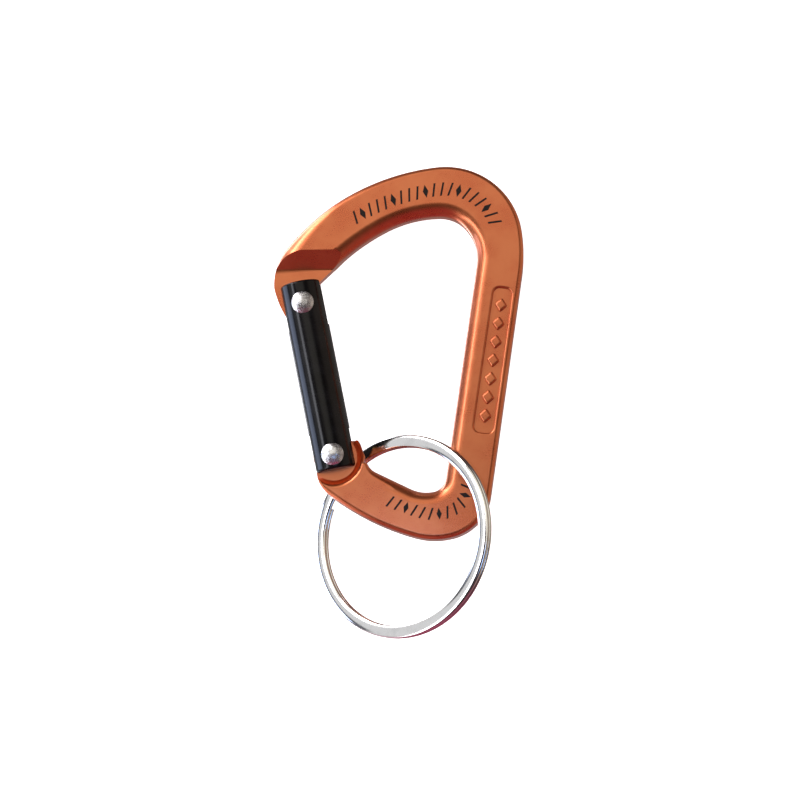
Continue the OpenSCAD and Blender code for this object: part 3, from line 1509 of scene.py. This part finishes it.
@dataclass(frozen=True)
class Rivet:
    """A shank with a low domed head at both ends.

    Attributes:
        line: The gate's line.
        name: The piece's name.
        along: The rivet's distance from the hinge.
        shank: Radius of the shank.
        head: Radius of the head.
        seat: Height where the head starts.
        rim: Height where its dome starts.
        dome: Height of the dome alone.
        rings: How many rings of faces make the dome.
    """

    line: GateLine
    name: str
    along: float
    shank: float = 0.8
    head: float = 1.48
    seat: float = 2.3
    rim: float = 2.72
    dome: float = 0.42
    rings: int = 9

    def build(self) -> bpy.types.Object:
        """Models one half up from the middle, by insetting and lifting, and mirrors it.

        Returns:
            The rivet.
        """
        piece = bar(self.name, self.shank, Vector((0, 0, 0)), Vector((0, 0, self.seat)), 64)
        select_faces(piece, lambda face: face.normal.z > 0.9)
        bpy.ops.mesh.inset(thickness=0, use_even_offset=True)
        wider = self.head / self.shank
        bpy.ops.transform.resize(value=(wider, wider, 1))
        bpy.ops.mesh.extrude_region_move(TRANSFORM_OT_translate={"value": (0, 0, self.rim - self.seat)})
        radius = self.head
        sphere = (self.head**2 + self.dome**2) / (2 * self.dome)
        for i in range(1, self.rings + 1):
            turn = math.asin(self.head / sphere) * (1 - i / (self.rings + 0.6))
            next_radius = sphere * math.sin(turn)
            lift = math.sqrt(sphere**2 - next_radius**2) - math.sqrt(sphere**2 - radius**2)
            bpy.ops.mesh.inset(thickness=radius - next_radius, use_even_offset=True)
            bpy.ops.transform.translate(value=(0, 0, lift))
            radius = next_radius
        bpy.ops.object.mode_set(mode="OBJECT")
        select_faces(piece, lambda face: face.normal.z < -0.9 and face.center.z < 0.01)
        bpy.ops.mesh.delete(type="FACE")
        bpy.ops.object.mode_set(mode="OBJECT")
        apply_modifier(piece, "MIRROR", use_axis=(False, False, True), use_mirror_merge=True)
        mend(piece)
        shade(piece, 40)
        on_line(piece, self.line, self.along)
        return piece


@dataclass(frozen=True)
class ReturnSpring:
    """The coil spring in the gate's bore, which shortens as the plunger is pushed up.

    Attributes:
        line: The gate's line.
        low: Distance from the hinge to its foot.
        high: Distance from the hinge to its head.
        coil: Radius of the coil, to the wire's middle.
        wire: Radius of the wire.
        turns: How many turns it has.
    """

    line: GateLine
    low: float = 3.82
    high: float = 11.3
    coil: float = 1.12
    wire: float = 0.18
    turns: int = 8

    def build(self) -> bpy.types.Object:
        """Screws a round section up the bore and closes both ends of the wire.

        Returns:
            The spring.
        """
        deselect()
        bpy.ops.mesh.primitive_circle_add(
            vertices=14, radius=self.wire, location=(self.coil, 0, 0), rotation=(math.pi / 2, 0, 0)
        )
        piece = added("return_spring_coil")
        freeze(piece)
        rise = self.high - self.low
        apply_modifier(
            piece,
            "SCREW",
            axis="Z",
            angle=math.tau * self.turns,
            screw_offset=rise,
            steps=40 * self.turns,
            render_steps=40 * self.turns,
            use_smooth_shade=True,
        )
        pick(piece)
        bpy.ops.object.mode_set(mode="EDIT")
        bpy.ops.mesh.select_all(action="SELECT")
        bpy.ops.mesh.fill_holes(sides=0)
        finish_edit(piece)
        piece.matrix_world = Matrix.Rotation(-math.pi / 2, 4, "X")
        freeze(piece)
        shade(piece, 50, weighted=False)
        on_line(piece, self.line, self.low)
        return piece

    def ends(self, bench: Bench) -> tuple[Vector, Vector]:
        """The model's points where the spring meets the plunger and the bore's blind end."""
        return bench.at(*self.line.at(0, self.low), 0), bench.at(*self.line.at(0, self.high), 0)


# ---------------------------------------------------------------------------------------------
# The split ring
# ---------------------------------------------------------------------------------------------


@dataclass(frozen=True)
class SplitRing:
    """Flat spring wire wound twice round, which steps from one turn to the other.

    Attributes:
        middle: The ring's middle in the drawing.
        lean: Degrees that its axle of tilt leans from upright, top to the right.
        tilt: Degrees that it's tilted out of the drawing's plane.
        outside: Radius of its outside.
        width: Width of the wire, out from the middle.
        turn: Thickness of one turn of the wire.
        gap: Free space between the two turns.
        crossing: Degrees of winding on each side of the step's middle.
        step_at: Where the step is, in degrees round the ring.
        squareness: 2 for a round section, and more for a squarer one.
        sides: How many points the section has.
        per_degree: Steps of the winding in each degree.
    """

    middle: tuple[float, float, float] = (0.21, -18.2, 0.2)
    lean: float = 7.2
    tilt: float = 29.3
    outside: float = 13.5
    width: float = 1.65
    turn: float = 0.6
    gap: float = 0.05
    crossing: float = 16.0
    step_at: float = 150.0
    squareness: float = 2.15
    sides: int = 32
    per_degree: float = 0.5

    def section(self) -> list[Point]:
        """The wire's section: a strip with crowned faces and round edges.

        Returns:
            The points, out from the ring's middle and up.
        """
        points = []
        power = 2 / self.squareness
        for i in range(self.sides):
            turn = 2 * math.pi * i / self.sides
            x, z = (math.copysign(abs(v) ** power, v) for v in (math.cos(turn), math.sin(turn)))
            points.append((self.outside + self.width * (x - 1) / 2, self.turn * z / 2))
        return points

    def height(self, angle: float) -> float:
        """Height of the wire's middle.

        Args:
            angle: How far the wire has wound, in degrees.

        Returns:
            The height above the ring's own middle.
        """
        pitch = self.turn + self.gap
        share = (angle - (360 - self.crossing)) / (2 * self.crossing)
        return -pitch / 2 * math.cos(math.pi * min(1.0, max(0.0, share)))

    def build(self) -> bpy.types.Object:
        """Spins the section round twice, less the crossing, and lifts the second turn.

        Returns:
            The ring.
        """
        section = self.section()
        deselect()
        bpy.ops.mesh.primitive_circle_add(vertices=len(section), radius=1, fill_type="NGON")
        piece = added("split_ring_wire")
        for corner, (x, z) in zip(piece.data.vertices, section):
            corner.co = (x, 0, z)
        wound = 720 - 2 * self.crossing
        steps = round(wound * self.per_degree)
        pick(piece)
        bpy.ops.object.mode_set(mode="EDIT")
        bpy.ops.mesh.select_all(action="SELECT")
        bpy.ops.mesh.spin(
            steps=steps, angle=math.radians(wound), center=(0, 0, 0), axis=(0, 0, -1), use_auto_merge=False
        )
        bpy.ops.object.mode_set(mode="OBJECT")
        for i, corner in enumerate(piece.data.vertices):
            wind = self.crossing + wound * (i // len(section)) / steps
            corner.co.z += self.height(wind)
        mend(piece)
        shade(piece, 50, weighted=False)
        piece.matrix_world = (
            Matrix.Translation(self.middle)
            @ Matrix.Rotation(math.radians(-self.lean), 4, "Z")
            @ Matrix.Rotation(math.radians(-self.tilt), 4, "Y")
            @ Matrix.Rotation(math.radians(self.step_at + self.crossing), 4, "Z")
        )
        freeze(piece)
        return piece


# ---------------------------------------------------------------------------------------------
# The stage
# ---------------------------------------------------------------------------------------------


@dataclass(frozen=True)
class Band:
    """A part of the surroundings with a colour of its own, beyond a soft edge.

    Attributes:
        axis: 0 across the object, 1 along it, 2 up.
        low: Where on that axis the colour starts.
        high: Where it is full.
        colour: The colour.
    """

    axis: int
    low: float
    high: float
    colour: Colour


@dataclass(frozen=True)
class Studio:
    """A pale floor, soft lights and the camera.

    Attributes:
        bench: Where the drawing lies in the model.
        look_at: The drawing's point in the middle of the view.
        from_side: Degrees that the camera stands to the right of the drawing's normal.
        from_below: Degrees that it stands below it.
        distance: Its distance in millimetres.
        field: Width of the view there.
        sensor: Width of its sensor.
        glow_at: Place of the small blue lamp over the key ring.
        glow_on: Where it points.
        glow_spread: How wide its beam is, in degrees.
        floor_size: Width of the floor in metres.
        floor_drop: How far below the model it lies, in millimetres.
        bands: The surroundings' colours, each laid over those before it.
    """

    bench: Bench
    look_at: tuple[float, float, float] = (0.0, 0.0, 0.0)
    from_side: float = 3.0
    from_below: float = 8.0
    distance: float = 300.0
    field: float = 106.7
    sensor: float = 36.0
    glow_at: tuple[float, float, float] = (-5.0, -25.0, 85.0)
    glow_on: tuple[float, float, float] = (-5.0, -22.0, 0.0)
    glow_spread: float = 36.0
    floor_size: float = 6.0
    floor_drop: float = 0.02
    bands: tuple[Band, ...] = (
        Band(2, -0.02, -0.35, (0.34, 0.31, 0.31)),  # what lies below the horizon
        Band(0, 0.55, 0.85, (0.60, 0.50, 0.42)),  # a wall on the right
        Band(0, -0.54, -0.59, (6.5, 6.6, 7.2)),  # a narrow window on the left
        Band(0, -0.67, -0.71, (0.82, 0.84, 0.88)),  # the wall beside it
        Band(0, -0.885, -0.90, (0.10, 0.10, 0.11)),  # a dark gap
        Band(0, -0.935, -0.97, (3.4, 4.0, 5.6)),  # a strip of blue light
        Band(1, -0.30, -0.90, (0.38, 0.075, 0.14)),  # a red glow at the foot
    )

    def camera(self) -> None:
        """Adds the camera, looking along the drawing's own normal but a little from below."""
        side, below = math.radians(self.from_side), math.radians(self.from_below)
        away = Vector((math.sin(side), -math.sin(below), math.cos(side) * math.cos(below))).normalized()
        target = self.bench.at(*self.look_at)
        back = self.bench.toward(*away)
        up = self.bench.toward(0, 1, 0)
        right = up.cross(back).normalized()
        up = back.cross(right).normalized()
        data = bpy.data.cameras.new("camera")
        data.lens = self.sensor * self.distance / self.field
        data.sensor_width = self.sensor
        data.clip_start = 0.01
        data.clip_end = 10
        camera = linked("camera", data)
        turn = Matrix((right, up, back)).transposed().to_4x4()
        camera.matrix_world = Matrix.Translation(target + back * self.distance * MM) @ turn
        bpy.context.scene.camera = camera

    def softbox(
        self, name: str, at: Sequence[float], size: Point, power: float, colour: Colour
    ) -> bpy.types.Object:
        """Adds an area light, aimed at the object's middle.

        Args:
            name: The light's name.
            at: Its place in the drawing.
            size: Its width and height in millimetres.
            power: Its power in watts.
            colour: Its colour.

        Returns:
            The light.
        """
        data = bpy.data.lights.new(name, "AREA")
        data.shape = "RECTANGLE"
        data.size, data.size_y = size[0] * MM, size[1] * MM
        data.energy = power
        data.color = colour
        light = linked(name, data)
        self.aim(light, at, (0, 0, 0))
        return light

    def aim(self, light: bpy.types.Object, at: Sequence[float], target: Sequence[float]) -> None:
        """Stands a light at one place in the drawing, facing another.

        Args:
            light: The light.
            at: Its place.
            target: The place that it faces.
        """
        place = self.bench.at(*at)
        turn = (self.bench.at(*target) - place).to_track_quat("-Z", "Y").to_matrix().to_4x4()
        light.matrix_world = Matrix.Translation(place) @ turn

    def lights(self) -> None:
        """Adds the soft lights and the pale surroundings."""
        self.softbox("key", (-170, 130, 300), (90, 130), 0.06, (1.0, 0.99, 0.98))
        glow = self.softbox("glow", self.glow_at, (26, 20), 0.00030, (0.42, 0.60, 1.0))
        glow.data.spread = math.radians(self.glow_spread)
        self.aim(glow, self.glow_at, self.glow_on)
        self.softbox("corner", (-190, 230, 170), (120, 160), 0.30, (1.0, 0.92, 0.90))
        world = bpy.data.worlds.new("surroundings")
        world.use_nodes = True
        sky = Tree(world.node_tree)
        around = sky.node("ShaderNodeTexCoord").outputs["Generated"]
        split = sky.node("ShaderNodeSeparateXYZ", {}, {0: around})
        axes = [Signal(sky, socket) for socket in split.outputs]
        ceiling = axes[2] * 0.88 + axes[1] * 0.47
        colour = sky.blend(ceiling.ramp(0.88, 0.95), (0.05, 0.04, 0.04), (1.06, 1.0, 0.88))
        for band in self.bands:
            colour = sky.blend(axes[band.axis].ramp(band.low, band.high), colour, band.colour)
        light = sky.node("ShaderNodeBackground", {}, {"Color": colour, "Strength": 1.0})
        sky.node("ShaderNodeOutputWorld", {}, {"Surface": light.outputs[0]})
        bpy.context.scene.world = world

    def floor(self) -> None:
        """Adds the pale floor that the object lies on."""
        deselect()
        bpy.ops.mesh.primitive_plane_add(size=self.floor_size, location=(0, 0, -self.floor_drop * MM))
        floor = added("floor")
        paint = Paint("pale_floor")
        paint.set(base_color=(0.9, 0.9, 0.9, 1), roughness=0.9)
        paint.set(emission_color=(1, 1, 1, 1), emission_strength=1.1)
        floor.data.materials.append(paint.material)
        floor.visible_glossy = False

    def build(self) -> None:
        """Sets the whole stage."""
        self.camera()
        self.lights()
        self.floor()
        bpy.context.scene.view_settings.view_transform = "Standard"


# ---------------------------------------------------------------------------------------------
# Assembly
# ---------------------------------------------------------------------------------------------


@dataclass
class Assembly:
    """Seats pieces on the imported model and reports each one.

    Attributes:
        bench: Where the drawing lies in the model.
    """

    bench: Bench
    frame: dict

    def add(
        self, piece: bpy.types.Object, body: str, slot: str, finish: bpy.types.Material, *nodes: str
    ) -> None:
        """Seats a piece, dresses it, parents it to its body and hides the CAD nodes that it stands for.

        Args:
            piece: A piece drawn in millimetres.
            body: The body that it rides on.
            slot: Its material slot; not used.
            finish: Its material.
            nodes: The CAD nodes that it stands for.
        """
        self.clothe(piece, finish)
        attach(piece, body)
        if nodes:
            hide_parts(*nodes)
        LOG.info("%s: %d faces, rides on %s", piece.name, len(piece.data.polygons), body)

    def add_spring(self, spring: ReturnSpring, finish: bpy.types.Material) -> None:
        """Seats the spring in the gate's bore, as it stands at rest.

        Args:
            spring: The spring.
            finish: Its material.
        """
        piece = spring.build()
        self.clothe(piece, finish)
        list(spring.ends(self.bench))
        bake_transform(piece)
        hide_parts("return_spring")
        LOG.info("%s: %d faces, between plunger and gate", piece.name, len(piece.data.polygons))

    def clothe(self, piece: bpy.types.Object, finish: bpy.types.Material) -> None:
        """Gives a piece its finish and its place in the model.

        Args:
            piece: A piece drawn in millimetres.
            finish: Its material.
        """
        piece.data.materials.clear()
        piece.data.materials.append(finish)
        self.bench.seat(piece)

    def dress(self, node: str, finish: bpy.types.Material) -> None:
        """Gives a CAD node that stays its finish.

        Args:
            node: The node's name.
            finish: Its material.
        """
        piece = self.frame["nodes"][node]
        piece.data.materials.clear()
        piece.data.materials.append(finish)
        LOG.info("%s: kept from the model", node)


def main() -> None:
    """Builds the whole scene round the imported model."""
    logging.basicConfig(level=logging.INFO, format="%(name)s: %(message)s")
    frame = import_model()
    line = GateLine()
    bench = Bench.from_frame(frame, line.hinge, line.lean)
    orange = OrangeAnodise().make()
    black = BlackAnodise(along=line.lean).make()
    steel = RivetSteel().make()
    nickel = RingNickel().make()
    ink = PrintInk().make()
    assembly = Assembly(bench, frame)
    assembly.add(ForgedFrame(line).build(), "frame", "orange_anodised", orange, "frame")
    outer = ForgedFrame(line).outer
    for row in (
        PrintedRow("foot_print", 8.0, 21.5, 3.3, 1.6),
        PrintedRow("top_arc_print", 56.5, 77.5, 3.2, 1.8),
    ):
        assembly.add(row.build(outer), "frame", "black_anodised", ink)
    assembly.add(Gate(line).build(), "gate", "black_anodised", black, "gate")
    for name, along in (("hinge_rivet", 0.0), ("latch_rivet", line.span)):
        rivet = Rivet(line, name + "_headed", along).build()
        assembly.add(rivet, "gate", "rivet_steel", steel, name)
    assembly.add(SplitRing().build(), "key_ring", "ring_nickel", nickel, "split_ring")
    assembly.add_spring(ReturnSpring(line), SpringWire().make())
    assembly.dress("plunger", PlungerBrass().make())
    Studio(bench).build()


if __name__ == "__main__":
    main()
